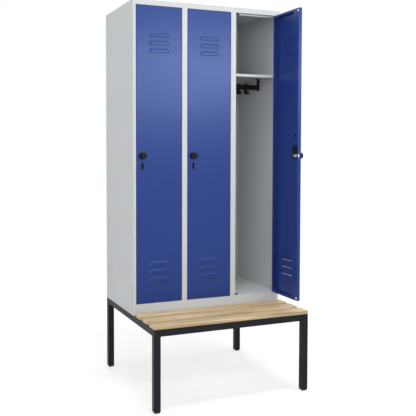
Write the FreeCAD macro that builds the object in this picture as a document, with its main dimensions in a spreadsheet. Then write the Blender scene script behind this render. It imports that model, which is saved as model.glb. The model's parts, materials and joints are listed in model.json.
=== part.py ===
import FreeCAD, Part
import math
import os
import re
import Sketcher
from FreeCAD import Placement, Rotation, Vector

# Clothes locker with bench: three tall compartments of folded sheet steel stand on a square
# tube frame that reaches out in front and carries the wooden slats of a bench.
# X runs along the front, Y from the front to the back, Z up. The origin is on the floor
# at the middle of the footprint. The right door stands open, the other two are shut.

doc = FreeCAD.newDocument("ClothesLocker")
sheet = doc.addObject("Spreadsheet::Sheet", "Dimensions")

# Millimetres, and degrees for the angle
dimensions = {
    # body
    "compartment_width": 300,
    "body_depth": 500,
    "body_height": 1700,
    "gauge": 1,
    "stile_face": 15,
    "jamb_depth": 23,
    "stop_width": 14,
    "stop_drop": 9,
    "top_rail": 28,
    "bottom_rail": 60,
    "base_return": 30,
    "rear_flange": 15,
    # bench frame
    "frame_height": 425,
    "bench_projection": 315,
    "tube_size": 35,
    "tube_wall": 2,
    "tube_corner": 2.5,
    "cap_height": 17,
    "cap_round": 13,
    "plug_height": 18,
    "plug_clearance": 0.15,
    # bench slats and fasteners
    "slat_width": 78,
    "slat_gap": 27,
    "slat_thickness": 20,
    "slat_round": 4,
    "screw_diameter": 4.5,
    "screw_bite": 14,
    "screw_head_diameter": 9,
    "screw_head_height": 2.5,
    "screw_leg_clearance": 5,
    "bolt_diameter": 8,
    "bolt_head_diameter": 15,
    "bolt_head_height": 5.3,
    "weld_nut_height": 6.5,
    "weld_nut_width": 13,
    "bolt_inset": 120,
    "hole_clearance": 0.25,
    # hat shelf and coat rail
    "shelf_drop": 368,
    "shelf_lip": 15,
    "shelf_return": 10,
    "shelf_setback": 1,
    "coat_rail_drop": 69,
    "coat_rail_setback": 230,
    "coat_bar_height": 29,
    "coat_bar_depth": 14,
    "coat_bar_round": 3,
    "coat_groove_height": 3,
    "coat_groove_depth": 1.2,
    "coat_arm_width": 10,
    "coat_arm_drop": 4,
    "coat_arm_inset": 5,
    "coat_foot_length": 26,
    "coat_foot_thickness": 4,
    # sliding hooks
    "hook_spacing": 52,
    "hook_width": 16,
    "hook_wall": 4,
    "hook_slide_clearance": 0.4,
    "hook_shank": 5,
    "hook_reach": 24,
    "hook_drop": 30,
    "hook_tip_height": 18,
    "hook_bend": 4,
    # doors
    "door_gap": 2,
    "door_depth": 20,
    "door_lip": 12,
    "door_edge_round": 1.2,
    "pivot_inset": 4,
    "pivot_depth": 3.7,
    "pin_diameter": 5,
    "pin_engagement": 10,
    "pin_fixing": 10,
    "pin_running_clearance": 0.08,
    "pin_fixed_clearance": 0.03,
    "collar_diameter": 7,
    "collar_clearance": 0.1,
    "open_door_angle": 90,
    "stiffener_inset": 13,
    "stiffener_width": 39,
    # louvres
    "louvre_base": 124,
    "louvre_crown": 98,
    "louvre_height": 20,
    "louvre_shoulder": 4.2,
    "louvre_shoulder_base": 117,
    "louvre_shoulder_crown": 93,
    "louvre_shoulder_height": 16.5,
    "louvre_bulge": 5,
    "louvre_face_base": 112,
    "louvre_face_crown": 89,
    "louvre_face_height": 13,
    "louvre_cover": 0.9,
    "louvre_pitch": 42,
    "louvre_rise": 123,
    "louvre_drop": 143,
    # buffers
    "buffer_width": 22,
    "buffer_height": 8,
    "buffer_thickness": 2.6,
    "buffer_inset": 8,
    "pad_diameter": 12,
    "pad_thickness": 2,
    "pad_inset": 6.5,
    "pad_drop": 14,
    "pad_stem_diameter": 4,
    "pad_stem_length": 3,
    # latch
    "knob_height": 1290,
    "knob_inset": 35,
    "knob_diameter": 38,
    "knob_front_diameter": 33,
    "knob_depth": 27,
    "knob_round": 1.5,
    "grip_width": 10,
    "grip_length": 28,
    "grip_height": 2.5,
    "grip_round": 1,
    "knob_face_clearance": 0.2,
    "spindle_diameter": 22,
    "crank_radius": 7.0711,
    "crank_pin_diameter": 5,
    "crank_pin_length": 6.8,
    "crank_play": 0.5,
    "latch_bolt_height": 17,
    "latch_bolt_thickness": 7.5,
    "latch_bolt_setback": 11,
    "latch_bolt_recess": 0.5,
    "latch_tail_length": 16,
    "latch_tail_rise": 13,
    "slide_clearance": 0.3,
    "strike_clearance": 1,
    "case_inset": 3,
    "case_width": 48,
    "case_core_inset": 15,
    "case_below": 17,
    "case_above": 56,
    "case_front": 4,
    "case_plate": 1.5,
    "case_overlap": 1.5,
    "case_clearance": 0.25,
    "window_margin": 1,
    "window_start": 8,
    "window_end": 44,
    # slots in the lock side
    "hasp_slot_width": 13,
    "hasp_slot_height": 39,
    "hasp_slot_drop": 56,
    "hasp_rim": 1.2,
    "hasp_rim_height": 0.8,
    "hasp_wall": 2,
    "hasp_depth": 6,
    "spare_slot_width": 12,
    "spare_slot_height": 22,
    "spare_slot_rise": 112,
    "spare_slot_inset": 27,
}
for row, (name, value) in enumerate(dimensions.items(), start=1):
    sheet.set(f"A{row}", name)
    sheet.set(f"B{row}", str(value))
    sheet.setAlias(f"B{row}", name)
doc.recompute()

# Lengths that follow from the dimensions, written as sheet formulas
width = "(3 * compartment_width)"
half_width = "(1.5 * compartment_width)"
front = "((bench_projection - body_depth) / 2)"
rear = "((bench_projection + body_depth) / 2)"
bench_front = "(-(bench_projection + body_depth) / 2)"
half_tube = "(tube_size / 2)"
rail_centre = "(frame_height - tube_size / 2)"
inner_top = "(body_height - gauge)"
opening_top = "(body_height - top_rail)"
stop_top = "(body_height - top_rail - stop_drop)"
back_face = "(body_depth - 2 * gauge)"
shelf_top = "(frame_height + body_height - shelf_drop)"
shelf_under = f"({shelf_top} - gauge)"
coat_bar_low = f"({shelf_top} - coat_rail_drop)"
coat_bar_top = f"({coat_bar_low} + coat_bar_height)"
door_width = "(compartment_width - 2 * stile_face - 2 * door_gap)"
door_bottom = "(frame_height + bottom_rail + door_gap)"
door_top = "(frame_height + body_height - top_rail - door_gap)"
door_height = "(body_height - top_rail - bottom_rail - 2 * door_gap)"
hinge_edge = "pivot_inset"
free_edge = "(pivot_inset - compartment_width + 2 * stile_face + 2 * door_gap)"
door_face = "(-pivot_depth)"
skin_back = "(gauge - pivot_depth)"
door_back = "(door_depth - pivot_depth)"
knob_axis = f"({free_edge} + knob_inset)"
crank_offset = "(crank_radius * sqrt(0.5))"
bolt_front = "(latch_bolt_setback - pivot_depth)"
bolt_back = "(latch_bolt_setback + latch_bolt_thickness - pivot_depth)"
pad_heights = {"low": f"({door_bottom} + pad_drop)", "high": f"({door_top} - pad_drop)"}
bolt_low = "(knob_height - latch_bolt_height / 2)"
bolt_high = "(knob_height + latch_bolt_height / 2)"
bolt_cover = "(door_depth - latch_bolt_setback - latch_bolt_thickness)"
window_low = f"({bolt_low} + window_margin)"
window_high = f"({bolt_high} - window_margin)"

columns = ("left", "middle", "right")


def bound(formula):
    """The formula with each dimension's name pointing at its cell."""
    def cell(word):
        return f"Dimensions.{word[0]}" if word[0] in dimensions else word[0]

    return re.sub(r"[A-Za-z_]\w*", cell, formula)


def size(formula):
    return float(sheet.evalExpression(bound(formula)))


def place(piece, x="0", y="0", z="0", turn="0"):
    piece.Placement = Placement(Vector(0, 0, 0), Rotation(Vector(0, 0, 1), size(turn)))
    piece.setExpression("Placement.Rotation.Angle", bound(turn))
    for axis, formula in zip("xyz", (x, y, z)):
        piece.setExpression(f"Placement.Base.{axis}", bound(formula))
    return piece


def new_body(label):
    body = doc.addObject("PartDesign::Body", label)
    body.Label = label
    return body


def sketch_on(body, plane, at="0"):
    """A sketch on one of the body's planes, moved to the place 'at' along the plane's axis."""
    sketch = body.newObject("Sketcher::SketchObject", "Sketch")
    origin_plane = next(item for item in body.Origin.OriginFeatures if item.Role == f"{plane}_Plane")
    sketch.AttachmentSupport = [(origin_plane, "")]
    sketch.MapMode = "FlatFace"
    offset = f"-({at})" if plane == "XZ" else at
    sketch.setExpression("AttachmentOffset.Base.z", bound(offset))
    return sketch


def pin_point(sketch, geometry, point, x, y):
    for kind, formula in (("DistanceX", x), ("DistanceY", y)):
        index = sketch.addConstraint(Sketcher.Constraint(kind, -1, 1, geometry, point, size(formula)))
        sketch.setExpression(f"Constraints[{index}]", bound(formula))


def outline(sketch, corners):
    """A closed run of straight lines through the corners."""
    spots = [Vector(size(x), size(y), 0) for x, y in corners]
    lines = [sketch.addGeometry(Part.LineSegment(start, end))
             for start, end in zip(spots, spots[1:] + spots[:1])]
    for line, following in zip(lines, lines[1:] + lines[:1]):
        sketch.addConstraint(Sketcher.Constraint("Coincident", line, 2, following, 1))
    for line, (x, y) in zip(lines, corners):
        pin_point(sketch, line, 1, x, y)
    return sketch


def rectangle(sketch, left, right, low, high):
    return outline(sketch, [(left, low), (right, low), (right, high), (left, high)])


def circle(sketch, x, y, diameter):
    ring = sketch.addGeometry(Part.Circle(Vector(size(x), size(y), 0), Vector(0, 0, 1), size(diameter) / 2))
    pin_point(sketch, ring, 3, x, y)
    index = sketch.addConstraint(Sketcher.Constraint("Diameter", ring, size(diameter)))
    sketch.setExpression(f"Constraints[{index}]", bound(diameter))
    return sketch


def upright_slot(sketch, x, middle, slot_width, slot_height):
    """A slot with round ends: two half circles joined by tangent lines."""
    radius = f"({slot_width} / 2)"
    top_y = f"({middle} + {slot_height} / 2 - {radius})"
    low_y = f"({middle} - {slot_height} / 2 + {radius})"
    reach = size(radius)
    ends = []
    for y, first, last in ((top_y, 0, 180), (low_y, 180, 360)):
        ring = Part.Circle(Vector(size(x), size(y), 0), Vector(0, 0, 1), reach)
        ends.append(sketch.addGeometry(Part.ArcOfCircle(ring, math.radians(first), math.radians(last))))
    top, low = ends
    left = sketch.addGeometry(Part.LineSegment(Vector(size(x) - reach, size(top_y), 0),
                                               Vector(size(x) - reach, size(low_y), 0)))
    right = sketch.addGeometry(Part.LineSegment(Vector(size(x) + reach, size(low_y), 0),
                                                Vector(size(x) + reach, size(top_y), 0)))
    loop = (top, left, low, right)
    for piece, following in zip(loop, loop[1:] + loop[:1]):
        sketch.addConstraint(Sketcher.Constraint("Tangent", piece, 2, following, 1))
    sketch.addConstraint(Sketcher.Constraint("Equal", top, low))
    pin_point(sketch, top, 3, x, top_y)
    pin_point(sketch, low, 3, x, low_y)
    index = sketch.addConstraint(Sketcher.Constraint("Radius", top, reach))
    sketch.setExpression(f"Constraints[{index}]", bound(radius))
    return sketch


def pad(body, sketch, length, turned=False):
    feature = body.newObject("PartDesign::Pad", "Pad")
    feature.Profile = sketch
    feature.setExpression("Length", bound(length))
    feature.Reversed = turned
    doc.recompute()
    return feature


def pocket(body, sketch, depth, turned=False):
    before = body.Shape.Volume
    feature = body.newObject("PartDesign::Pocket", "Pocket")
    feature.Profile = sketch
    feature.setExpression("Length", bound(depth))
    feature.Reversed = turned
    doc.recompute()
    if body.Shape.Volume > before - 0.01:
        raise RuntimeError(f"a pocket in {body.Label} cuts nothing")
    return feature


def edges_along(feature, axis, spots=None):
    """Names of the straight edges along an axis, all of them or those through the given spots."""
    others = [k for k in range(3) if k != "XYZ".index(axis)]
    names = []
    for number, edge in enumerate(feature.Shape.Edges, start=1):
        first, last = edge.Vertexes[0].Point, edge.Vertexes[-1].Point
        if any(abs(first[k] - last[k]) > 1e-6 for k in others) or edge.Curve.TypeId != "Part::GeomLine":
            continue
        here = [first[k] for k in others]
        if spots is None or any(abs(here[0] - u) + abs(here[1] - v) < 1e-4 for u, v in spots):
            names.append(f"Edge{number}")
    return names


def edges_where(feature, chosen):
    """Names of the edges whose box the test accepts."""
    return [f"Edge{number}" for number, edge in enumerate(feature.Shape.Edges, start=1)
            if chosen(edge.BoundBox)]


def fillet(body, base, names, radius):
    feature = body.newObject("PartDesign::Fillet", "Fillet")
    feature.Base = (base, names)
    feature.setExpression("Radius", bound(radius))
    doc.recompute()
    return feature


def group(label, pieces):
    bundle = doc.addObject("Part::Compound", label)
    bundle.Label = label
    bundle.Links = pieces
    doc.recompute()
    return bundle


# Bench frame: square tube, four legs and five rails

def tube(label, plane, length, x, y, z):
    """A length of square tube with its middle line on the placement, running along one axis."""
    body = new_body(label)
    axis = {"XY": "Z", "YZ": "X", "XZ": "Y"}[plane]
    bore = "(tube_size / 2 - tube_wall)"
    sketch = sketch_on(body, plane, f"-{length} / 2" if plane != "XZ" else f"{length} / 2")
    rectangle(sketch, f"-{half_tube}", half_tube, f"-{half_tube}", half_tube)
    rectangle(sketch, f"-{bore}", bore, f"-{bore}", bore)
    run = pad(body, sketch, length)
    corner = size(half_tube)
    outer = [(u, v) for u in (-corner, corner) for v in (-corner, corner)]
    fillet(body, run, edges_along(run, axis, outer), "tube_corner")
    return place(body, x, y, z)


leg_length = "(frame_height - cap_height)"
leg_middle = "((frame_height + cap_height) / 2)"
side_spots = {"left": f"(-{half_width} + {half_tube})", "right": f"({half_width} - {half_tube})"}
leg_rows = {"front": f"({bench_front} + {half_tube})", "rear": f"({rear} - {half_tube})"}
cross_length = f"({width} - 2 * tube_size)"
side_length = "(bench_projection + body_depth - 2 * tube_size)"
body_rail_y = f"({front} + {half_tube})"

frame_pieces = []
for end, leg_y in leg_rows.items():
    for side, leg_x in side_spots.items():
        frame_pieces.append(tube(f"leg_{end}_{side}", "XY", leg_length, leg_x, leg_y, leg_middle))
frame_pieces.append(tube("rail_front", "YZ", cross_length, "0", leg_rows["front"], rail_centre))
rail_rear = tube("rail_rear", "YZ", cross_length, "0", leg_rows["rear"], rail_centre)
rail_middle = tube("rail_middle", "YZ", cross_length, "0", body_rail_y, rail_centre)
side_rails = {side: tube(f"rail_{side}", "XZ", side_length, rail_x, "0", rail_centre)
              for side, rail_x in side_spots.items()}
frame_pieces += [rail_rear, rail_middle, *side_rails.values()]


def foot_cap(label, x, y):
    """A moulded cap with a rounded sole and a plug that goes up into the leg."""
    body = new_body(label)
    sole_sketch = rectangle(sketch_on(body, "XY"), f"-{half_tube}", half_tube, f"-{half_tube}", half_tube)
    sole = pad(body, sole_sketch, "cap_height")
    rounded = fillet(body, sole, edges_along(sole, "Z"), "tube_corner")
    floor_edges = edges_where(rounded, lambda box: box.ZMax < 1e-6)
    fillet(body, rounded, floor_edges, "cap_round")
    plug_half = "(tube_size / 2 - tube_wall - plug_clearance)"
    plug = sketch_on(body, "XY", "cap_height")
    rectangle(plug, f"-{plug_half}", plug_half, f"-{plug_half}", plug_half)
    pad(body, plug, "plug_height")
    return place(body, x, y)


caps = [foot_cap(f"cap_{end}_{side}", leg_x, leg_y)
        for end, leg_y in leg_rows.items() for side, leg_x in side_spots.items()]
frame_pieces.append(group("foot_caps", caps))

# Bench slats, each screwed to both side rails from below

slat_rows = {name: f"({bench_front} + slat_width / 2 + {count} * (slat_width + slat_gap))"
             for count, name in enumerate(("front", "middle", "rear"))}
screw_hole = "(screw_diameter + 2 * hole_clearance)"
# behind the middle of the slat, so that the heads stay clear of the front legs
screw_setback = "(tube_size + screw_head_diameter / 2 + screw_leg_clearance - slat_width / 2)"


def slat(label, y):
    body = new_body(label)
    section = rectangle(sketch_on(body, "YZ", f"-{half_width}"), "-slat_width / 2", "slat_width / 2",
                        "0", "slat_thickness")
    board = pad(body, section, width)
    every_edge = [f"Edge{n}" for n in range(1, len(board.Shape.Edges) + 1)]
    fillet(body, board, every_edge, "slat_round")
    pilots = sketch_on(body, "XY")
    for rail_x in side_spots.values():
        circle(pilots, rail_x, screw_setback, screw_hole)
    pocket(body, pilots, "screw_bite + hole_clearance", turned=True)
    return place(body, "0", y, "frame_height")


def wood_screw(label, x, y):
    body = new_body(label)
    head = circle(sketch_on(body, "XY"), "0", "0", "screw_head_diameter")
    pad(body, head, "screw_head_height", turned=True)
    shank = circle(sketch_on(body, "XY"), "0", "0", "screw_diameter")
    pad(body, shank, "tube_size + screw_bite")
    return place(body, x, y, "frame_height - tube_size")


slats = [slat(f"slat_{name}", slat_y) for name, slat_y in slat_rows.items()]
screws = []
for side, rail in side_rails.items():
    holes = sketch_on(rail, "XY", half_tube)
    for name, slat_y in slat_rows.items():
        screw_y = f"({slat_y} + {screw_setback})"
        circle(holes, "0", screw_y, screw_hole)
        screws.append(wood_screw(f"screw_{name}_{side}", side_spots[side], screw_y))
    pocket(rail, holes, "tube_size")
slat_screws = group("slat_screws", screws)

# Body: side panels, partitions, back, roof and floor of folded sheet.
# Their own frame has its origin at the lower left front corner of the body.

strike_low = f"({bolt_low} - strike_clearance - frame_height)"
strike_high = f"({bolt_high} + strike_clearance - frame_height)"
strike_front = "(latch_bolt_setback - strike_clearance)"
strike_back = "(latch_bolt_setback + latch_bolt_thickness + strike_clearance)"
stile_height = "(body_height - top_rail - bottom_rail)"
stop_height = "(body_height - top_rail - bottom_rail - stop_drop)"


def set_on_frame(body, x="0"):
    return place(body, f"{x} - {half_width}", front, "frame_height")


def cut_strike(body):
    """The slot in a stile's jamb that takes the latch bolt."""
    strike = sketch_on(body, "YZ", "stile_face")
    rectangle(strike, strike_front, strike_back, strike_low, strike_high)
    pocket(body, strike, "gauge")


def side_panel(label, mirrored):
    """A side wall folded into the front stile, with the door stop behind it and a rear flange."""
    body = new_body(label)

    def across(x):
        return f"({width} - ({x}))" if mirrored else x

    def folded(plane_height, corners, height):
        sketch = sketch_on(body, "XY", plane_height)
        return pad(body, outline(sketch, [(across(x), y) for x, y in corners]), height)

    folded("0", [("0", "0"), ("gauge", "0"), ("gauge", "body_depth - gauge"),
                 ("rear_flange", "body_depth - gauge"), ("rear_flange", "body_depth"), ("0", "body_depth")],
           inner_top)
    folded("bottom_rail", [("gauge", "0"), ("stile_face", "0"), ("stile_face", "jamb_depth"),
                           ("stile_face - gauge", "jamb_depth"), ("stile_face - gauge", "gauge"),
                           ("gauge", "gauge")], stile_height)
    stop_edge = "stile_face + stop_width"
    folded("bottom_rail", [("gauge", "jamb_depth"), (stop_edge, "jamb_depth"),
                           (stop_edge, "jamb_depth + gauge"), ("gauge", "jamb_depth + gauge")], stop_height)
    if not mirrored:
        cut_strike(body)
    return set_on_frame(body)


def partition(label, count):
    """A dividing wall with the channel of a middle stile and its door stops at the front."""
    body = new_body(label)
    channel = sketch_on(body, "XY", "bottom_rail")
    inside = "(stile_face - gauge)"
    outline(channel, [("-stile_face", "0"), ("stile_face", "0"), ("stile_face", "jamb_depth"),
                      (inside, "jamb_depth"), (inside, "gauge"), (f"-{inside}", "gauge"),
                      (f"-{inside}", "jamb_depth"), ("-stile_face", "jamb_depth")])
    pad(body, channel, stile_height)
    stops = sketch_on(body, "XY", "bottom_rail")
    stop_edge = "(stile_face + stop_width)"
    rectangle(stops, f"-{stop_edge}", stop_edge, "jamb_depth", "jamb_depth + gauge")
    pad(body, stops, stop_height)
    wall = sketch_on(body, "XY", "bottom_rail")
    rectangle(wall, "-gauge / 2", "gauge / 2", "jamb_depth + gauge", back_face)
    pad(body, wall, f"{inner_top} - bottom_rail")
    cut_strike(body)
    return set_on_frame(body, f"{count} * compartment_width")


def pivot_x(count):
    """Distance of a door's pivot from the left side of the body."""
    return f"({count + 1} * compartment_width - stile_face - door_gap - pivot_inset)"


def back_panel():
    body = new_body("back_panel")
    sketch = rectangle(sketch_on(body, "XY", "bottom_rail"), "gauge", f"{width} - gauge",
                       back_face, "body_depth - gauge")
    pad(body, sketch, f"{inner_top} - bottom_rail")
    return set_on_frame(body)


def roof():
    """The top sheet with the upper rail folded down in front, and the upper door stop behind it."""
    body = new_body("roof")
    rail = sketch_on(body, "YZ", "gauge")
    outline(rail, [("0", inner_top), ("0", opening_top), ("jamb_depth", opening_top),
                   ("jamb_depth", stop_top), ("jamb_depth + gauge", stop_top),
                   ("jamb_depth + gauge", f"{opening_top} + gauge"),
                   ("gauge", f"{opening_top} + gauge"), ("gauge", inner_top)])
    pad(body, rail, f"{width} - 2 * gauge")
    top = rectangle(sketch_on(body, "XY", inner_top), "0", width, "0", "body_depth")
    pad(body, top, "gauge")
    holes = sketch_on(body, "XY", opening_top)
    for count in range(3):
        circle(holes, pivot_x(count), "pivot_depth", "pin_diameter + 2 * pin_fixed_clearance")
    pocket(body, holes, "gauge", turned=True)
    return set_on_frame(body)


bolt_spots = [(x, y) for y in (half_tube, f"(body_depth - {half_tube})")
              for x in ("bolt_inset", f"({width} - bolt_inset)")]
bolt_hole = "(bolt_diameter + 2 * hole_clearance)"


def floor_pan():
    """The floor sheet folded down to the lower rail in front and a flange behind, with weld nuts."""
    body = new_body("floor_pan")
    sheet_low = "(bottom_rail - gauge)"
    rear_face = "(body_depth - gauge)"
    fold = sketch_on(body, "YZ", "gauge")
    outline(fold, [("0", "0"), ("base_return", "0"), ("base_return", "gauge"), ("gauge", "gauge"),
                   ("gauge", sheet_low), (back_face, sheet_low), (back_face, "gauge"),
                   (f"{rear_face} - base_return", "gauge"), (f"{rear_face} - base_return", "0"),
                   (rear_face, "0"), (rear_face, "bottom_rail"), ("0", "bottom_rail")])
    pad(body, fold, f"{width} - 2 * gauge")
    nuts = sketch_on(body, "XY", "gauge")
    flat = "(weld_nut_width / 2)"
    tip = "(weld_nut_width / sqrt(3))"
    for x, y in bolt_spots:
        outline(nuts, [(f"{x} + {tip}", y), (f"{x} + {tip} / 2", f"{y} + {flat}"),
                       (f"{x} - {tip} / 2", f"{y} + {flat}"), (f"{x} - {tip}", y),
                       (f"{x} - {tip} / 2", f"{y} - {flat}"), (f"{x} + {tip} / 2", f"{y} - {flat}")])
    pad(body, nuts, "weld_nut_height")
    bolt_holes = sketch_on(body, "XY")
    for x, y in bolt_spots:
        circle(bolt_holes, x, y, bolt_hole)
    pocket(body, bolt_holes, "gauge + weld_nut_height", turned=True)
    pin_holes = sketch_on(body, "XY", "bottom_rail")
    for count in range(3):
        circle(pin_holes, pivot_x(count), "pivot_depth", "pin_diameter + 2 * pin_fixed_clearance")
    pocket(body, pin_holes, "gauge")
    return set_on_frame(body)


def frame_bolt(label, x, y):
    """A hexagon bolt from under the rail, through the tube, into the weld nut."""
    body = new_body(label)
    head = sketch_on(body, "XY")
    tip = "(bolt_head_diameter / 2)"
    flat = "(bolt_head_diameter * sqrt(3) / 4)"
    outline(head, [(tip, "0"), (f"{tip} / 2", flat), (f"-{tip} / 2", flat),
                   (f"-{tip}", "0"), (f"-{tip} / 2", f"-{flat}"), (f"{tip} / 2", f"-{flat}")])
    pad(body, head, "bolt_head_height", turned=True)
    pad(body, circle(sketch_on(body, "XY"), "0", "0", "bolt_diameter"),
        "tube_size + gauge + weld_nut_height")
    return place(body, f"{x} - {half_width}", f"{y} + {front}", "frame_height - tube_size")


body_pieces = [side_panel("side_panel_left", False), side_panel("side_panel_right", True),
               partition("partition_left", 1), partition("partition_right", 2),
               back_panel(), roof(), floor_pan()]
bolts = []
for rail, rail_y in ((rail_middle, half_tube), (rail_rear, f"(body_depth - {half_tube})")):
    holes = sketch_on(rail, "XY", half_tube)
    for x, y in bolt_spots:
        if y == rail_y:
            circle(holes, f"{x} - {half_width}", "0", bolt_hole)
            bolts.append(frame_bolt(f"bolt_{len(bolts) + 1}", x, y))
    pocket(rail, holes, "tube_size")
frame_bolts = group("frame_bolts", bolts)


# Inside each compartment: a hat shelf, and below it a coat rail with three sliding hooks

def wall_left(count):
    return "gauge" if count == 0 else f"({count} * compartment_width + gauge / 2)"


def wall_right(count):
    return f"({width} - gauge)" if count == 2 else f"({count + 1} * compartment_width - gauge / 2)"


def stand_in_body(body):
    """Heights of inner pieces are given above the floor."""
    return place(body, f"-{half_width}", front)


def hat_shelf(label, count):
    body = new_body(label)
    lip_low = f"({shelf_top} - shelf_lip)"
    lip_face = "(jamb_depth + gauge + shelf_setback)"
    fold = sketch_on(body, "YZ", wall_left(count))
    outline(fold, [(lip_face, lip_low), (f"{lip_face} + shelf_return", lip_low),
                   (f"{lip_face} + shelf_return", f"{lip_low} + gauge"),
                   (f"{lip_face} + gauge", f"{lip_low} + gauge"),
                   (f"{lip_face} + gauge", shelf_under), (f"{back_face} - gauge", shelf_under),
                   (f"{back_face} - gauge", lip_low), (back_face, lip_low),
                   (back_face, shelf_top), (lip_face, shelf_top)])
    pad(body, fold, f"{wall_right(count)} - {wall_left(count)}")
    return stand_in_body(body)


def coat_rail(label, count):
    """A bar with an arm and a foot at each end, hung under the shelf."""
    body = new_body(label)
    left = f"({wall_left(count)} + coat_arm_inset)"
    right = f"({wall_right(count)} - coat_arm_inset)"
    near = "(coat_rail_setback - coat_bar_depth / 2)"
    foot_low = f"({shelf_under} - coat_foot_thickness)"
    arm_low = f"({coat_bar_low} - coat_arm_drop)"
    shape = sketch_on(body, "XZ", near)
    outline(shape, [(left, arm_low), (f"{left} + coat_arm_width", arm_low),
                    (f"{left} + coat_arm_width", coat_bar_low), (f"{right} - coat_arm_width", coat_bar_low),
                    (f"{right} - coat_arm_width", arm_low), (right, arm_low), (right, shelf_under),
                    (f"{right} - coat_foot_length", shelf_under), (f"{right} - coat_foot_length", foot_low),
                    (f"{right} - coat_arm_width", foot_low), (f"{right} - coat_arm_width", coat_bar_top),
                    (f"{left} + coat_arm_width", coat_bar_top), (f"{left} + coat_arm_width", foot_low),
                    (f"{left} + coat_foot_length", foot_low), (f"{left} + coat_foot_length", shelf_under),
                    (left, shelf_under)])
    bar = pad(body, shape, "coat_bar_depth", turned=True)
    far = f"({near} + coat_bar_depth)"
    long_edges = [(size(y), size(z)) for y in (near, far) for z in (coat_bar_low, coat_bar_top)]
    fillet(body, bar, edges_along(bar, "X", long_edges), "coat_bar_round")
    groove_low = f"({coat_bar_low} + (coat_bar_height - coat_groove_height) / 2)"
    for face, turned in ((near, False), (far, True)):
        groove = sketch_on(body, "XZ", face)
        rectangle(groove, f"{left} + coat_arm_width", f"{right} - coat_arm_width",
                  groove_low, f"{groove_low} + coat_groove_height")
        pocket(body, groove, "coat_groove_depth", turned=turned)
    return stand_in_body(body)


def hook(label, x):
    """A loop that slides on the bar, with a J below it that opens to the front."""
    body = new_body(label)
    inner_half = "(coat_bar_depth / 2 + hook_slide_clearance)"
    inner_low = "(-hook_slide_clearance)"
    inner_high = "(coat_bar_height + hook_slide_clearance)"
    outer_half = f"({inner_half} + hook_wall)"
    outer_low = f"({inner_low} - hook_wall)"
    outer_high = f"({inner_high} + hook_wall)"
    shank_back = "(hook_shank / 2)"
    shank_front = "(-hook_shank / 2)"
    tip_back = f"({shank_front} - hook_reach)"
    tip_front = f"({tip_back} - hook_shank)"
    base = "(-hook_drop)"
    bend_top = f"({base} + hook_shank)"
    tip_top = f"({base} + hook_tip_height)"
    sketch = sketch_on(body, "YZ", "-hook_width / 2")
    outline(sketch, [(f"-{outer_half}", outer_high), (outer_half, outer_high), (outer_half, outer_low),
                     (shank_back, outer_low), (shank_back, base), (tip_front, base), (tip_front, tip_top),
                     (tip_back, tip_top), (tip_back, bend_top), (shank_front, bend_top),
                     (shank_front, outer_low), (f"-{outer_half}", outer_low)])
    rectangle(sketch, f"-{inner_half}", inner_half, inner_low, inner_high)
    blank = pad(body, sketch, "hook_width")
    inner_bends = [(size(y), size(bend_top)) for y in (tip_back, shank_front)]
    outer_bends = [(size(y), size(base)) for y in (tip_front, shank_back)]
    bent = fillet(body, blank, edges_along(blank, "X", inner_bends), "hook_bend")
    fillet(body, bent, edges_along(bent, "X", outer_bends), "hook_bend + hook_shank")
    return place(body, f"{x} - {half_width}", f"{front} + coat_rail_setback", coat_bar_low)


fitting_pieces = []
for count, column in enumerate(columns):
    fitting_pieces.append(hat_shelf(f"hat_shelf_{column}", count))
    fitting_pieces.append(coat_rail(f"coat_rail_{column}", count))
    for number in range(3):
        hook_x = f"({count} + 0.5) * compartment_width + {number - 1} * hook_spacing"
        fitting_pieces.append(hook(f"hook_{column}_{number + 1}", hook_x))

# Hinge pins and rubber buffers on the body

floor_level = "(frame_height + bottom_rail)"
head_level = f"(frame_height + {opening_top})"


def cylinder(label, diameter, height, x, y, z):
    piece = doc.addObject("Part::Cylinder", label)
    piece.setExpression("Radius", bound(f"({diameter}) / 2"))
    piece.setExpression("Height", bound(height))
    return place(piece, x, y, z)


pin_length = "(pin_fixing + door_gap + pin_engagement)"
pins = []
buffers = []
for count, column in enumerate(columns):
    pin_x = f"{pivot_x(count)} - {half_width}"
    pin_y = f"{front} + pivot_depth"
    pins.append(cylinder(f"upper_pin_{column}", "pin_diameter", pin_length,
                         pin_x, pin_y, f"{head_level} - door_gap - pin_engagement"))
    lower_pin = doc.addObject("Part::Fuse", f"lower_pin_{column}")
    lower_pin.Base = cylinder(f"lower_shaft_{column}", "pin_diameter", pin_length,
                              pin_x, pin_y, f"{floor_level} - pin_fixing")
    lower_pin.Tool = cylinder(f"lower_collar_{column}", "collar_diameter", "door_gap - collar_clearance",
                              pin_x, pin_y, floor_level)
    pins.append(lower_pin)
    for end, low in (("low", floor_level), ("high", f"{head_level} - buffer_height")):
        block = doc.addObject("Part::Box", f"buffer_{end}_{column}")
        block.setExpression("Length", bound("buffer_width"))
        block.setExpression("Width", bound("buffer_thickness"))
        block.setExpression("Height", bound("buffer_height"))
        place(block, f"{count} * compartment_width + stile_face + buffer_inset - {half_width}",
              f"{front} + jamb_depth - buffer_thickness", low)
        buffers.append(block)
hinge_pins = group("hinge_pins", pins)
frame_buffers = group("frame_buffers", buffers)


# Doors. Their own frame has its origin on the pivot axis at floor level, the outer face
# towards -Y and the free edge towards -X.

def hang(body, count):
    turn = "open_door_angle" if count == 2 else "0"
    return place(body, f"{pivot_x(count)} - {half_width}", f"{front} + pivot_depth", "0", turn)


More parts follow.
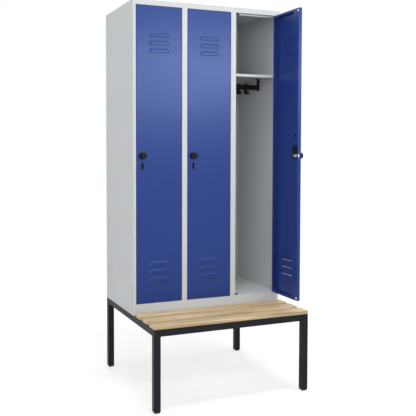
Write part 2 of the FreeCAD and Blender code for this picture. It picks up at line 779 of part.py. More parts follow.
def add_louvres(body):
    """Two groups of three pressed hoods, each open along its lower edge."""
    middle = f"({free_edge} + {door_width} / 2)"

    def section(at, low_width, high_width, low, high):
        sketch = sketch_on(body, "XZ", at)
        return outline(sketch, [(f"{middle} - {low_width} / 2", low),
                                (f"{middle} + {low_width} / 2", low),
                                (f"{middle} + {high_width} / 2", high),
                                (f"{middle} - {high_width} / 2", high)])

    # how far each section stands out of the door, its lower and upper width, and its height
    forms = (("(-gauge / 2)", "louvre_base", "louvre_crown", "louvre_height"),
             ("louvre_shoulder", "louvre_shoulder_base", "louvre_shoulder_crown", "louvre_shoulder_height"),
             ("louvre_bulge", "louvre_face_base", "louvre_face_crown", "louvre_face_height"))
    lows = [f"({door_bottom} + louvre_rise + {number} * louvre_pitch)" for number in range(3)]
    lows += [f"({door_top} - louvre_drop - louvre_height - {number} * louvre_pitch)" for number in range(3)]
    for low in lows:
        outside = [section(f"{door_face} - {out}", base, crown, low, f"{low} + {height}")
                   for out, base, crown, height in forms]
        hood = body.newObject("PartDesign::AdditiveLoft", "Hood")
        hood.Profile = outside[0]
        hood.Sections = outside[1:]
        hood.Ruled = True
        inside = []
        for number, (out, base, crown, height) in enumerate(forms):
            depth = skin_back if number == 0 else f"{skin_back} - {out}"
            edge = f"{low} + louvre_cover" if number == 0 else f"{low} - gauge"
            inside.append(section(depth, f"({base} - 2 * gauge)", f"({crown} - 2 * gauge)",
                                  edge, f"{low} + {height} - gauge"))
        hollow = body.newObject("PartDesign::SubtractiveLoft", "Hollow")
        hollow.Profile = inside[0]
        hollow.Sections = inside[1:]
        hollow.Ruled = True
    doc.recompute()


def door_panel(label, count):
    """A sheet folded back on all four edges, with a lip all round the inside."""
    body = new_body(label)
    block_sketch = rectangle(sketch_on(body, "XY", door_bottom), free_edge, hinge_edge, door_face, door_back)
    block = pad(body, block_sketch, door_height)
    face_level = size(door_face)
    front_edges = edges_where(block, lambda box: box.YMax < face_level + 1e-6)
    fillet(body, block, front_edges, "door_edge_round")
    inside = rectangle(sketch_on(body, "XY", f"{door_bottom} + gauge"), f"{free_edge} + gauge",
                       f"{hinge_edge} - gauge", skin_back, f"{door_back} - gauge")
    pocket(body, inside, f"{door_height} - 2 * gauge", turned=True)
    lips = rectangle(sketch_on(body, "XZ", door_back), f"{free_edge} + door_lip", f"{hinge_edge} - door_lip",
                     f"{door_bottom} + door_lip", f"{door_top} - door_lip")
    pocket(body, lips, "gauge", turned=True)
    pivots = circle(sketch_on(body, "XY", door_top), "0", "0", "pin_diameter + 2 * pin_running_clearance")
    pocket(body, pivots, door_height)
    face_holes = sketch_on(body, "XZ", door_face)
    circle(face_holes, knob_axis, "knob_height", "spindle_diameter + 2 * pin_running_clearance")
    upright_slot(face_holes, knob_axis, "(knob_height - hasp_slot_drop)", "(hasp_slot_width - 2 * hasp_rim)",
                 "(hasp_slot_height - 2 * hasp_rim)")
    pocket(body, face_holes, "gauge")
    bolt_way = rectangle(sketch_on(body, "YZ", free_edge), f"{bolt_front} - slide_clearance",
                         f"{bolt_back} + slide_clearance", f"{bolt_low} - slide_clearance",
                         f"{bolt_high} + slide_clearance")
    pocket(body, bolt_way, "gauge", turned=True)
    sight = rectangle(sketch_on(body, "XZ", door_back), f"{free_edge} + window_start",
                      f"{free_edge} + door_lip + gauge", window_low, window_high)
    pocket(body, sight, "gauge", turned=True)
    stems = sketch_on(body, "XZ", door_back)
    for pad_z in pad_heights.values():
        circle(stems, f"{free_edge} + pad_inset", pad_z, "pad_stem_diameter + 2 * hole_clearance")
    pocket(body, stems, "gauge", turned=True)
    add_louvres(body)
    return hang(body, count)


def door_stiffener(label, count):
    """A channel along the lock side, shut by the door's skin; it carries the latch."""
    body = new_body(label)
    near = f"({free_edge} + stiffener_inset)"
    far = f"({near} + stiffener_width)"
    low = f"({door_bottom} + door_lip)"
    channel = sketch_on(body, "XY", low)
    web_front = f"({door_back} - gauge)"
    outline(channel, [(near, skin_back), (f"{near} + gauge", skin_back), (f"{near} + gauge", web_front),
                      (f"{far} - gauge", web_front), (f"{far} - gauge", skin_back), (far, skin_back),
                      (far, door_back), (near, door_back)])
    pad(body, channel, f"{door_height} - 2 * door_lip")
    face = sketch_on(body, "XZ", door_back)
    rectangle(face, f"{free_edge} + case_core_inset - case_clearance",
              f"{free_edge} + case_inset + case_width - case_overlap + case_clearance",
              "knob_height - case_below + case_overlap - case_clearance",
              "knob_height + case_above - case_overlap + case_clearance")
    upright_slot(face, f"({free_edge} + spare_slot_inset)", "(knob_height + spare_slot_rise)",
                 "spare_slot_width", "spare_slot_height")
    pocket(body, face, "gauge", turned=True)
    bolt_way = rectangle(sketch_on(body, "YZ", near), f"{bolt_front} - slide_clearance",
                         f"{bolt_back} + slide_clearance", f"{bolt_low} - slide_clearance",
                         f"{bolt_high} + slide_clearance")
    pocket(body, bolt_way, "gauge", turned=True)
    sight = rectangle(sketch_on(body, "XZ", door_back), f"{near} - gauge", f"{free_edge} + case_core_inset",
                      window_low, window_high)
    pocket(body, sight, bolt_cover, turned=True)
    return hang(body, count)


bolt_tail_end = f"({knob_axis} + {crank_offset} + latch_tail_length / 2)"


def latch_case(label, count):
    """A moulded guide for the latch bolt, let into the stiffener, with a window on the bolt."""
    body = new_body(label)
    left = f"({free_edge} + case_inset)"
    right = f"({left} + case_width)"
    low = "(knob_height - case_below)"
    high = "(knob_height + case_above)"
    plate = rectangle(sketch_on(body, "XZ", door_back), left, right, low, high)
    pad(body, plate, "case_plate", turned=True)
    core_left = f"({free_edge} + case_core_inset)"
    core = rectangle(sketch_on(body, "XZ", door_back), core_left, f"{right} - case_overlap",
                     f"{low} + case_overlap", f"{high} - case_overlap")
    pad(body, core, "door_depth - case_front")
    track = sketch_on(body, "YZ", core_left)
    rectangle(track, f"{bolt_front} - slide_clearance", f"{bolt_back} + slide_clearance",
              f"{bolt_low} - slide_clearance", "knob_height + latch_tail_rise + slide_clearance")
    pocket(body, track, f"{bolt_tail_end} + slide_clearance - {core_left}", turned=True)
    bore = circle(sketch_on(body, "XZ", "case_front - pivot_depth"), knob_axis, "knob_height",
                  "spindle_diameter + 2 * slide_clearance")
    pocket(body, bore, "latch_bolt_setback - case_front")
    window = rectangle(sketch_on(body, "XZ", f"{door_back} + case_plate"), f"{free_edge} + window_start",
                       f"{free_edge} + window_end", window_low, window_high)
    pocket(body, window, f"case_plate + {bolt_cover}", turned=True)
    return hang(body, count)


def door_pad(label, z, count):
    """A round button with a stem that goes through the lip."""
    body = new_body(label)
    x = f"({free_edge} + pad_inset)"
    face = circle(sketch_on(body, "XZ", door_back), x, z, "pad_diameter")
    button = pad(body, face, "pad_thickness", turned=True)
    crown = size(f"{door_back} + pad_thickness")
    fillet(body, button, edges_where(button, lambda box: box.YMin > crown - 1e-6), "pad_thickness / 2")
    pad(body, circle(sketch_on(body, "XZ", door_back), x, z, "pad_stem_diameter"), "pad_stem_length")
    return hang(body, count)


def slot_bush(label, count):
    """A moulded rim and lining for the upright slot under the knob."""
    body = new_body(label)
    middle = "(knob_height - hasp_slot_drop)"
    rim = sketch_on(body, "XZ", door_face)
    upright_slot(rim, knob_axis, middle, "hasp_slot_width", "hasp_slot_height")
    pad(body, rim, "hasp_rim_height")
    inset = "(hasp_rim + hole_clearance)"
    lining = upright_slot(sketch_on(body, "XZ", door_face), knob_axis, middle,
                          f"(hasp_slot_width - 2 * {inset})", f"(hasp_slot_height - 2 * {inset})")
    pad(body, lining, "hasp_depth", turned=True)
    through = f"({inset} + hasp_wall)"
    opening = upright_slot(sketch_on(body, "XZ", f"{door_face} - hasp_rim_height"), knob_axis, middle,
                           f"(hasp_slot_width - 2 * {through})", f"(hasp_slot_height - 2 * {through})")
    pocket(body, opening, "hasp_rim_height + hasp_depth - gauge")
    return hang(body, count)


def knob(label, count):
    """A tapered turning knob with an upright grip on its front, and a spindle and crank pin inside."""
    body = new_body(label)
    back = f"({door_face} - knob_face_clearance)"
    front = f"({door_face} - knob_depth)"
    cone = pad(body, circle(sketch_on(body, "XZ", back), knob_axis, "knob_height", "knob_diameter"),
               "knob_depth - knob_face_clearance")
    taper = "atan((knob_diameter - knob_front_diameter) / 2 / (knob_depth - knob_face_clearance))"
    cone.setExpression("TaperAngle", bound(f"-{taper}"))
    doc.recompute()
    front_level = size(front)
    fillet(body, cone, edges_where(cone, lambda box: box.YMax < front_level + 1e-6), "knob_round")
    grip = upright_slot(sketch_on(body, "XZ", front), knob_axis, "knob_height", "grip_width", "grip_length")
    bar = pad(body, grip, "grip_height")
    grip_level = size(f"{front} - grip_height")
    fillet(body, bar, edges_where(bar, lambda box: box.YMax < grip_level + 1e-6), "grip_round")
    spindle = circle(sketch_on(body, "XZ", back), knob_axis, "knob_height", "spindle_diameter")
    pad(body, spindle, "latch_bolt_setback - slide_clearance + knob_face_clearance", turned=True)
    pin = circle(sketch_on(body, "XZ", f"{bolt_front} - slide_clearance"), f"{knob_axis} + {crank_offset}",
                 f"knob_height + {crank_offset}", "crank_pin_diameter")
    pad(body, pin, "crank_pin_length", turned=True)
    return hang(body, count)


def latch_bolt(label, count):
    """A flat bolt drawn back to the free edge, with a raised tail that is slotted for the crank pin."""
    body = new_body(label)
    tip = f"({free_edge} + latch_bolt_recess)"
    tail_start = f"({bolt_tail_end} - latch_tail_length)"
    shape = sketch_on(body, "XZ", bolt_front)
    tail_top = "(knob_height + latch_tail_rise)"
    outline(shape, [(tip, bolt_low), (bolt_tail_end, bolt_low), (bolt_tail_end, tail_top),
                    (tail_start, tail_top), (tail_start, bolt_high), (tip, bolt_high)])
    slot_x = f"({knob_axis} + {crank_offset})"
    slot_half = "(crank_pin_diameter / 2 + crank_play)"
    rectangle(shape, f"{slot_x} - {slot_half}", f"{slot_x} + {slot_half}",
              f"knob_height + {crank_offset} - {slot_half}", f"knob_height + crank_radius + {slot_half}")
    pad(body, shape, "latch_bolt_thickness", turned=True)
    return hang(body, count)


door_pieces = []
for count, column in enumerate(columns):
    door_pieces.append(door_panel(f"door_panel_{column}", count))
    door_pieces.append(door_stiffener(f"door_stiffener_{column}", count))
    door_pieces.append(latch_case(f"latch_case_{column}", count))
    door_pieces.append(slot_bush(f"slot_bush_{column}", count))
    pads = [door_pad(f"pad_{end}_{column}", pad_z, count) for end, pad_z in pad_heights.items()]
    door_pieces.append(group(f"door_pads_{column}", pads))
    door_pieces.append(knob(f"knob_{column}", count))
    door_pieces.append(latch_bolt(f"latch_bolt_{column}", count))

pieces = (frame_pieces + slats + [slat_screws] + body_pieces + [frame_bolts] + fitting_pieces
          + [hinge_pins, frame_buffers] + door_pieces)

doc.recompute()
for item in doc.Objects:
    if "Invalid" in item.State or "Error" in item.State:
        raise RuntimeError(f"{item.Label} did not recompute")
for piece in pieces:
    if piece.Shape.isNull() or not piece.Shape.isValid():
        raise RuntimeError(f"{piece.Label} has no valid shape")

os.makedirs("parts", exist_ok=True)
for piece in pieces:
    piece.Shape.exportStep(f"parts/{piece.Label}.step")
print(f"{len(pieces)} sub-parts written")
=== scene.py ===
import bpy
import json
import math
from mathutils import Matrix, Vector


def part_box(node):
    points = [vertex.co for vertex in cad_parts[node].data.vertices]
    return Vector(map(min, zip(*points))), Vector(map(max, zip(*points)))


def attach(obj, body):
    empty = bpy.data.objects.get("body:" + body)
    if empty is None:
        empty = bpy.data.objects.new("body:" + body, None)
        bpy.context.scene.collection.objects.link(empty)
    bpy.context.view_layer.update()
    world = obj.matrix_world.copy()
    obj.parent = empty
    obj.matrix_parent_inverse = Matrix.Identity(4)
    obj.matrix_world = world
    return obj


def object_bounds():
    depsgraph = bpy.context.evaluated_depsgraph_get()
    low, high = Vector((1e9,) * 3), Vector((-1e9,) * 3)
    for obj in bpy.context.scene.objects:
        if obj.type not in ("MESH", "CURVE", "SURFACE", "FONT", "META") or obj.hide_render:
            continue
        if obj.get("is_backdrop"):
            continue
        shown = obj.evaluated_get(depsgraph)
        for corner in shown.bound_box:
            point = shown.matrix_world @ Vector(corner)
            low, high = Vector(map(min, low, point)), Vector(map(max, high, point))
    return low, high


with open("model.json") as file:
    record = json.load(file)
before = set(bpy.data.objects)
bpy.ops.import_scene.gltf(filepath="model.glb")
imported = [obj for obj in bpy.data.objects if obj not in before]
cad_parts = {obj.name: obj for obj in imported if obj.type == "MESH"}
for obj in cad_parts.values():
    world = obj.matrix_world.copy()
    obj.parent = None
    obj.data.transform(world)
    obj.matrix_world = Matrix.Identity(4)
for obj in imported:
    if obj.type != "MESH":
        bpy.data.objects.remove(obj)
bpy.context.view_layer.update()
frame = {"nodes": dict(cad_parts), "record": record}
nodes = frame["nodes"]
slotOf = {part["node"]: part["material_slot"] for part in frame["record"]["subparts"]}
scene = bpy.context.scene
bpy.ops.object.select_all(action="DESELECT")
print("frame loaded:", len(nodes), "nodes")


def linearOf(code):  # sRGB hex to the linear colour that shaders want
    channels = [int(code[k:k + 2], 16) / 255 for k in (1, 3, 5)]
    return tuple(c / 12.92 if c <= 0.04045 else ((c + 0.055) / 1.055) ** 2.4 for c in channels) + (1.0,)


def perMetre(millimetres):  # texture scale for features of that size
    return 1000.0 / millimetres


def addNode(tree, kind, settings=None, links=None):
    node = tree.nodes.new(kind)
    for key, value in (settings or {}).items():
        if isinstance(key, int) or key in node.inputs:
            node.inputs[key].default_value = value
        else:
            setattr(node, key, value)
    for key, source in (links or {}).items():
        tree.links.new(source, node.inputs[key])
    return node


def newMaterial(name):
    material = bpy.data.materials.new(name)
    material.use_nodes = True
    tree = material.node_tree
    shader = tree.nodes["Principled BSDF"]
    place = addNode(tree, "ShaderNodeTexCoord").outputs["Object"]
    return material, tree, shader, place


edge = {"samples": 6, "flatTurn": 0.98, "foldTurn": 0.75}


def nearEdge(tree, radius, share):  # a rounded normal parts from the face's own only near a fold; the mask from it places a painted highlight
    rounded = addNode(tree, "ShaderNodeBevel", {"samples": edge["samples"], "Radius": radius})
    flat = addNode(tree, "ShaderNodeNewGeometry")
    turn = addNode(tree, "ShaderNodeVectorMath", {"operation": "DOT_PRODUCT"},
                   {0: rounded.outputs["Normal"], 1: flat.outputs["True Normal"]})
    foldHighlightMask = addNode(tree, "ShaderNodeMapRange",
                   {"From Min": edge["flatTurn"], "From Max": edge["foldTurn"], "To Min": 0.0, "To Max": share},
                   {"Value": turn.outputs["Value"]})
    return rounded.outputs["Normal"], foldHighlightMask.outputs["Result"]


def roughen(tree, shader, pattern, limits):  # roughness runs between the limits
    rough = addNode(tree, "ShaderNodeMapRange", {"To Min": limits[0], "To Max": limits[1]}, {"Value": pattern})
    tree.links.new(rough.outputs["Result"], shader.inputs["Roughness"])


def emboss(tree, shader, links, strength, depth):
    bump = addNode(tree, "ShaderNodeBump", {"Strength": strength, "Distance": depth}, links)
    tree.links.new(bump.outputs["Normal"], shader.inputs["Normal"])


# Powder coat: baked polyester powder on steel. It flows to a satin skin with a fine orange peel and dulls a
# little in patches.
# # Near sharp folds the colour is lightened: a painted highlight where the rounded edge would catch light.
def powderCoat(name, look):
    material, tree, shader, place = newMaterial(name)
    shader.inputs["IOR"].default_value = 1.5
    shader.inputs["Specular IOR Level"].default_value = look["gloss"]
    shader.inputs["Specular Tint"].default_value = linearOf(look["glossTint"])
    patches = addNode(tree, "ShaderNodeTexNoise", {"Scale": perMetre(180), "Detail": 3.0}, {"Vector": place})
    peel = addNode(tree, "ShaderNodeTexNoise", {"Scale": perMetre(look["peelMm"]), "Detail": 2.0},
                   {"Vector": place})
    tone = addNode(tree, "ShaderNodeMix",
                   {"data_type": "RGBA", 6: linearOf(look["colour"]), 7: linearOf(look["deepColour"])},
                   {0: patches.outputs["Fac"]})
    rounded, foldHighlightMask = nearEdge(tree, look["foldMm"] / 1000, look["foldHighlightShare"])
    # the fold mask lightens the colour near folds: a painted highlight
    colour = addNode(tree, "ShaderNodeMix", {"data_type": "RGBA", 7: linearOf(look["foldHighlightColour"])},
                     {0: foldHighlightMask, 6: tone.outputs[2]})
    tree.links.new(colour.outputs[2], shader.inputs["Base Color"])
    roughen(tree, shader, patches.outputs["Fac"], (look["roughness"] - 0.05, look["roughness"] + 0.07))
    emboss(tree, shader, {"Height": peel.outputs["Fac"], "Normal": rounded}, look["peelStrength"], 0.0003)
    return material


# Beech: planed, rounded and clear lacquered. Straight pale grain, darker growth lines,
# and the short brown flecks that mark beech.
def lacqueredBeech(name, look):
    material, tree, shader, place = newMaterial(name)
    shader.inputs["Coat Weight"].default_value = look["lacquer"]
    shader.inputs["Coat Roughness"].default_value = look["lacquerRoughness"]
    along = addNode(tree, "ShaderNodeMapping", {"Scale": (look["grainDraw"], 1.0, 1.0)}, {"Vector": place})
    growth = addNode(tree, "ShaderNodeTexNoise",
                     {"Scale": perMetre(look["growthMm"]), "Detail": 4.0, "Roughness": 0.55, "Distortion": 0.4},
                     {"Vector": along.outputs["Vector"]})
    fibre = addNode(tree, "ShaderNodeTexNoise", {"Scale": perMetre(look["fibreMm"]), "Detail": 3.0},
                    {"Vector": along.outputs["Vector"]})
    fleckPlace = addNode(tree, "ShaderNodeMapping", {"Scale": (look["fleckDraw"], 1.0, 1.0)}, {"Vector": place})
    fleck = addNode(tree, "ShaderNodeTexVoronoi", {"Scale": perMetre(look["fleckMm"])},
                    {"Vector": fleckPlace.outputs["Vector"]})
    boards = addNode(tree, "ShaderNodeTexNoise", {"Scale": perMetre(look["boardMm"]), "Detail": 1.0},
                     {"Vector": along.outputs["Vector"]})
    ramp = addNode(tree, "ShaderNodeValToRGB", links={"Fac": growth.outputs["Fac"]})
    for stop, position, wood in zip(ramp.color_ramp.elements, look["growthRange"], ("lateWood", "earlyWood")):
        stop.position = position
        stop.color = linearOf(look[wood])
    warm = addNode(tree, "ShaderNodeMix",
                   {"data_type": "RGBA", "blend_type": "MULTIPLY", 7: linearOf(look["warmth"])},
                   {0: boards.outputs["Fac"], 6: ramp.outputs["Color"]})
    dash = addNode(tree, "ShaderNodeMapRange",
                   {"From Min": look["fleckRange"][0], "From Max": look["fleckRange"][1],
                    "To Min": 0.0, "To Max": look["fleckShare"]},
                   {"Value": fleck.outputs["Distance"]})
    flecked = addNode(tree, "ShaderNodeMix", {"data_type": "RGBA", 7: linearOf(look["fleck"])},
                      {0: dash.outputs["Result"], 6: warm.outputs[2]})
    tree.links.new(flecked.outputs[2], shader.inputs["Base Color"])
    roughen(tree, shader, fibre.outputs["Fac"], look["sheen"])
    emboss(tree, shader, {"Height": fibre.outputs["Fac"]}, 0.15, 0.0003)
    return material


# Zinc plate: bright passivated zinc on steel. Greyish metal with a faint yellow-blue cast
# and fine drawn lines, drawn coarser than life so that they show.
def zincPlate(name, look):
    material, tree, shader, place = newMaterial(name)
    shader.inputs["Metallic"].default_value = look["metallic"]  # the matt passivation hides part of the metal
    drawn = addNode(tree, "ShaderNodeMapping", {"Scale": (0.08, 0.08, 1.0)}, {"Vector": place})
    lines = addNode(tree, "ShaderNodeTexNoise", {"Scale": perMetre(look["lineMm"]), "Detail": 2.0},
                    {"Vector": drawn.outputs["Vector"]})
    cast = addNode(tree, "ShaderNodeTexNoise", {"Scale": perMetre(look["castMm"])}, {"Vector": place})
    colour = addNode(tree, "ShaderNodeMix",
                     {"data_type": "RGBA", 6: linearOf(look["colour"]), 7: linearOf(look["cast"])},
                     {0: cast.outputs["Fac"]})
    tree.links.new(colour.outputs[2], shader.inputs["Base Color"])
    roughen(tree, shader, lines.outputs["Fac"], look["sheen"])
    emboss(tree, shader, {"Height": lines.outputs["Fac"]}, 0.1, 0.0001)
    return material


# Moulded plastic: polyamide, polyethylene, nylon or rubber from a spark-eroded mould.
# A dead flat grain, drawn coarser than life so that it shows, and edges painted lighter: a painted highlight
# where they would catch more light.
def mouldedPlastic(name, look):
    material, tree, shader, place = newMaterial(name)
    shader.inputs["IOR"].default_value = look["ior"]
    shader.inputs["Specular IOR Level"].default_value = look["gloss"]
    grain = addNode(tree, "ShaderNodeTexNoise", {"Scale": perMetre(look["grainMm"]), "Detail": 2.0},
                    {"Vector": place})
    rounded, edgeHighlightMask = nearEdge(tree, 0.001, 0.4)
    # lighter near edges: a painted highlight
    colour = addNode(tree, "ShaderNodeMix",
                     {"data_type": "RGBA", 6: linearOf(look["colour"]), 7: linearOf(look["edgeHighlightColour"])}, {0: edgeHighlightMask})
    tree.links.new(colour.outputs[2], shader.inputs["Base Color"])
    roughen(tree, shader, grain.outputs["Fac"], (look["roughness"] - 0.06, look["roughness"] + 0.06))
    emboss(tree, shader, {"Height": grain.outputs["Fac"], "Normal": rounded}, 0.2, 0.0002)
    return material


# the fold colours below are painted highlights, lighter where the rounded folds would catch light
finishes = {
    "body_paint": powderCoat("powderCoatLightGrey", {
        "colour": "#cdd0d1", "deepColour": "#c6c9ca", "foldHighlightColour": "#f2f3f3", "foldHighlightShare": 0.8, "foldMm": 2.5,
        "roughness": 0.45, "gloss": 0.3, "glossTint": "#ffffff", "peelMm": 2.5, "peelStrength": 0.05}),
    "door_paint": powderCoat("powderCoatGentianBlue", {
        "colour": "#203880", "deepColour": "#1d3377", "foldHighlightColour": "#4463b6", "foldHighlightShare": 0.6, "foldMm": 2.0,
        "roughness": 0.3, "gloss": 0.5, "glossTint": "#c3dcff", "peelMm": 2.5, "peelStrength": 0.06}),
    "frame_paint": powderCoat("powderCoatBlackGrey", {
        "colour": "#1d2024", "deepColour": "#191c1f", "foldHighlightColour": "#383d42", "foldHighlightShare": 0.5, "foldMm": 2.0,
        "roughness": 0.5, "gloss": 0.15, "glossTint": "#ffffff", "peelMm": 1.8, "peelStrength": 0.12}),
    "beech": lacqueredBeech("lacqueredBeech", {
        "earlyWood": "#dccdaa", "lateWood": "#9f7d4a", "warmth": "#f6ead8", "fleck": "#ad875a",
        "growthMm": 14.0, "fibreMm": 1.6, "fleckMm": 5.0, "boardMm": 130,  # growth lines coarse enough to show
        "grainDraw": 0.035, "fleckDraw": 0.18, "growthRange": (0.3, 0.68), "fleckRange": (0.16, 0.05),
        "fleckShare": 0.35, "sheen": (0.36, 0.55), "lacquer": 0.25, "lacquerRoughness": 0.3}),
    "zinc_steel": zincPlate("zincPlatedSteel", {
        "colour": "#e3e4e2", "cast": "#d9d7cd", "lineMm": 1.2, "castMm": 9, "metallic": 0.5,
        "sheen": (0.38, 0.55)}),
    # the lighter edge colours of the moulded plastics below are painted highlights
    "fitting_plastic": mouldedPlastic("mouldedPolyamideBlack", {
        "colour": "#1a1b1d", "edgeHighlightColour": "#34363a", "roughness": 0.4, "ior": 1.53, "gloss": 0.1, "grainMm": 1.0}),
    "cap_plastic": mouldedPlastic("mouldedPolyethyleneBlack", {
        "colour": "#141516", "edgeHighlightColour": "#2e3032", "roughness": 0.55, "ior": 1.5, "gloss": 0.2, "grainMm": 1.4}),
    "buffer_rubber": mouldedPlastic("mouldedRubberBlack", {
        "colour": "#131314", "edgeHighlightColour": "#2a2a2b", "roughness": 0.75, "ior": 1.5, "gloss": 0.2, "grainMm": 1.2}),
    "pad_nylon": mouldedPlastic("mouldedNylonWhite", {
        "colour": "#e9e8e3", "edgeHighlightColour": "#f6f6f3", "roughness": 0.4, "ior": 1.53, "gloss": 0.5, "grainMm": 1.0}),
}
for name, node in nodes.items():
    node.data.materials.clear()
    node.data.materials.append(finishes[slotOf[name]])
print("finishes on", len(nodes), "nodes")


def pick(piece, kind, wanted):  # enter edit mode with only these vertices, edges or faces selected
    bpy.ops.object.mode_set(mode="EDIT")
    bpy.ops.mesh.select_mode(type=kind)
    bpy.ops.mesh.select_all(action="DESELECT")
    bpy.ops.object.mode_set(mode="OBJECT")
    for part in {"VERT": piece.data.vertices, "EDGE": piece.data.edges, "FACE": piece.data.polygons}[kind]:
        part.select = wanted(part)
    bpy.ops.object.mode_set(mode="EDIT")


# Moulded plug that shuts the spare slot on the inside of each door: a flat head and a stem in the slot
plug = {"wide": 0.015, "high": 0.025, "head": 0.0012, "rim": 0.0007, "flange": 0.0018, "stem": 0.002,
        "alongWeb": 0.014, "height": 1.402,  # metres; along the web from its lock-side edge
        "sides": 32, "rimSteps": 3, "smoothDegrees": 35, "close": 0.0001}

bpy.ops.mesh.primitive_cylinder_add(vertices=plug["sides"], radius=plug["wide"] / 2, depth=plug["head"],
                                    location=(0, plug["head"] / 2, 0), rotation=(math.radians(90), 0, 0))
slotPlug = bpy.context.object
bpy.ops.object.transform_apply(location=True, rotation=True, scale=False)
for side in (1, -1):  # draw the round apart to a slot
    pick(slotPlug, "VERT", lambda vertex: vertex.co.z * side > plug["close"])
    bpy.ops.transform.translate(value=(0, 0, side * (plug["high"] - plug["wide"]) / 2))
    bpy.ops.object.mode_set(mode="OBJECT")
pick(slotPlug, "FACE", lambda face: face.center.y < plug["close"])  # the stem grows out of the back
bpy.ops.mesh.inset(thickness=plug["flange"])
bpy.ops.mesh.extrude_region_move(TRANSFORM_OT_translate={"value": (0, -plug["stem"], 0)})
bpy.ops.object.mode_set(mode="OBJECT")
showing = plug["head"] - plug["close"]
pick(slotPlug, "EDGE", lambda rim: min(slotPlug.data.vertices[k].co.y for k in rim.vertices) > showing)
bpy.ops.mesh.bevel(offset=plug["rim"], segments=plug["rimSteps"])
bpy.ops.object.mode_set(mode="OBJECT")
bpy.ops.object.shade_smooth_by_angle(angle=math.radians(plug["smoothDegrees"]))
for column in ("left", "middle", "right"):
    low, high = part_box("door_stiffener_" + column)
    piece = slotPlug.copy()
    piece.data = slotPlug.data.copy()
    piece.name = piece.data.name = "slotPlug_" + column
    scene.collection.objects.link(piece)
    if column == "right":  # that door stands open
        piece.rotation_euler = (0, 0, math.radians(90))
        piece.location = (low[0], low[1] + plug["alongWeb"], plug["height"])
    else:
        piece.location = (low[0] + plug["alongWeb"], high[1], plug["height"])
    bpy.ops.object.select_all(action="DESELECT")
    piece.select_set(True)
    bpy.context.view_layer.objects.active = piece
    bpy.ops.object.transform_apply(location=True, rotation=True, scale=True)
    piece.data.materials.clear()
    piece.data.materials.append(finishes["fitting_plastic"])
    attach(piece, column + "_door")
bpy.data.objects.remove(slotPlug)
print("slot plugs in three doors")


# Studio: pale floor, even light from all round, a long softbox that the doors mirror
studio = {"around": 0.48, "floorSize": 60, "floorColour": "#c4c4c4",
          "floorOwn": (0.5, 0.78), "floorReach": (1.2, 5.0)}
lamps = {  # metres, watts, and degrees of spread
    "softboxFront": {"place": (1.2, -3.2, 2.15), "aim": (0.0, 0.0, 1.75), "size": (2.0, 0.55),
                     "watts": 8.8, "spread": 90},
    "keyLeft": {"place": (-2.6, -4.0, 2.4), "aim": (0.0, 0.0, 1.7), "size": (2.0, 1.6),
                "watts": 5.1, "spread": 50},
    "lowFill": {"place": (-1.2, -3.0, 1.0), "aim": (0.35, 0.1, 0.9), "size": (0.8, 1.0),
                "watts": 8.7, "spread": 180},
    "sideLeft": {"place": (-4.2, -0.6, 2.4), "aim": (-0.45, 0.15, 1.3), "size": (2.0, 1.6),
                 "watts": 32.0, "spread": 180},
    "overhead": {"place": (-1.3, -0.5, 4.6), "aim": (-0.6, -0.2, 0.5), "size": (3.2, 1.6),
                 "watts": 15.0, "spread": 180},
    "benchTop": {"place": (0.1, -1.0, 4.4), "aim": (0.05, -0.3, 0.45), "size": (2.4, 1.0),
                 "watts": 13.6, "spread": 70},
    "sideRight": {"place": (4.2, 0.7, 2.4), "aim": (0.45, 0.25, 1.2), "size": (2.0, 1.6),
                  "watts": 22.0, "spread": 120},
    "rear": {"place": (0.6, 4.4, 2.6), "aim": (0.0, 0.4, 1.2), "size": (2.4, 1.8),
             "watts": 32.0, "spread": 120},
}


def raysThatShow(tree):  # 1 where the camera, a mirror or glass looks at the surface
    path = addNode(tree, "ShaderNodeLightPath")
    seen = addNode(tree, "ShaderNodeMath", {"operation": "MAXIMUM"},
                   {0: path.outputs["Is Camera Ray"], 1: path.outputs["Is Transmission Ray"]})
    mirrored = addNode(tree, "ShaderNodeMath", {"operation": "MAXIMUM"},
                       {0: seen.outputs["Value"], 1: path.outputs["Is Glossy Ray"]})
    return mirrored.outputs["Value"]


world = bpy.data.worlds.new("studioWhite")
scene.world = world
world.use_nodes = True
tree = world.node_tree
tree.nodes.clear()
level = addNode(tree, "ShaderNodeMapRange", {"To Min": studio["around"], "To Max": 1.0},
                {"Value": raysThatShow(tree)})
glow = addNode(tree, "ShaderNodeBackground", {"Color": (1, 1, 1, 1)}, {"Strength": level.outputs["Result"]})
addNode(tree, "ShaderNodeOutputWorld", links={"Surface": glow.outputs["Background"]})

bpy.ops.mesh.primitive_plane_add(size=studio["floorSize"], location=(0, 0, 0))
floor = bpy.context.object
floor.name = "studioFloor"
floorPaint = bpy.data.materials.new("paleFloor")
floorPaint.use_nodes = True
tree = floorPaint.node_tree
tree.nodes.clear()
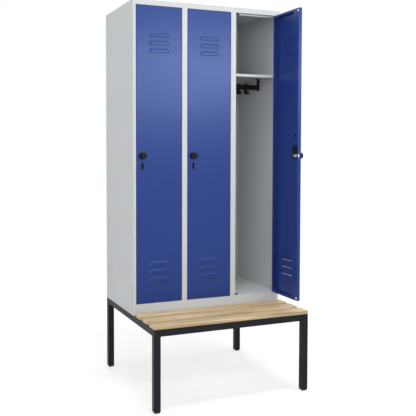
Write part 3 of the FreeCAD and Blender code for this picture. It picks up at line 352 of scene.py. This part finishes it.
# own light grows outward as the lamps' light fades, so that white and the shadow both stay
place = addNode(tree, "ShaderNodeTexCoord")
reach = addNode(tree, "ShaderNodeVectorMath", {"operation": "LENGTH"}, {0: place.outputs["Object"]})
outward = addNode(tree, "ShaderNodeMapRange",
                  {"From Min": studio["floorReach"][0], "From Max": studio["floorReach"][1],
                   "To Min": studio["floorOwn"][0], "To Max": studio["floorOwn"][1]},
                  {"Value": reach.outputs["Value"]})
own = addNode(tree, "ShaderNodeMath", {"operation": "MULTIPLY"},
              {0: raysThatShow(tree), 1: outward.outputs["Result"]})
glow = addNode(tree, "ShaderNodeEmission", {"Color": (1, 1, 1, 1)}, {"Strength": own.outputs["Value"]})
matt = addNode(tree, "ShaderNodeBsdfDiffuse", {"Color": linearOf(studio["floorColour"])})
both = addNode(tree, "ShaderNodeAddShader", links={0: glow.outputs["Emission"], 1: matt.outputs["BSDF"]})
addNode(tree, "ShaderNodeOutputMaterial", links={"Surface": both.outputs["Shader"]})
floor.data.materials.append(floorPaint)
floor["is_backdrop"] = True

for name, look in lamps.items():
    bpy.ops.object.light_add(type="AREA", location=look["place"])
    lamp = bpy.context.object
    lamp.name = name
    lamp.data.shape = "RECTANGLE"
    lamp.data.size, lamp.data.size_y = look["size"]
    lamp.data.energy = look["watts"]
    lamp.data.spread = math.radians(look["spread"])
    toward = Vector(look["aim"]) - Vector(look["place"])
    lamp.rotation_euler = toward.to_track_quat("-Z", "Y").to_euler()

# Camera as fitted to the picture's edges
view = {"place": (-1.6107, -3.4640, 1.3273), "yaw": 21.846, "down": 2.401, "focalPixels": 665.1,
        "imagePixels": 416, "sensorMm": 36, "shift": (0.1, -0.075), "farthest": 100}
bpy.ops.object.camera_add(location=view["place"],
                          rotation=(math.radians(90 - view["down"]), 0, -math.radians(view["yaw"])))
camera = bpy.context.object
camera.data.sensor_width = view["sensorMm"]
camera.data.lens = view["focalPixels"] / view["imagePixels"] * view["sensorMm"]
camera.data.shift_x, camera.data.shift_y = view["shift"]
camera.data.clip_end = view["farthest"]
scene.camera = camera
scene.view_settings.view_transform = "Standard"
print("studio and camera set")

low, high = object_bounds()
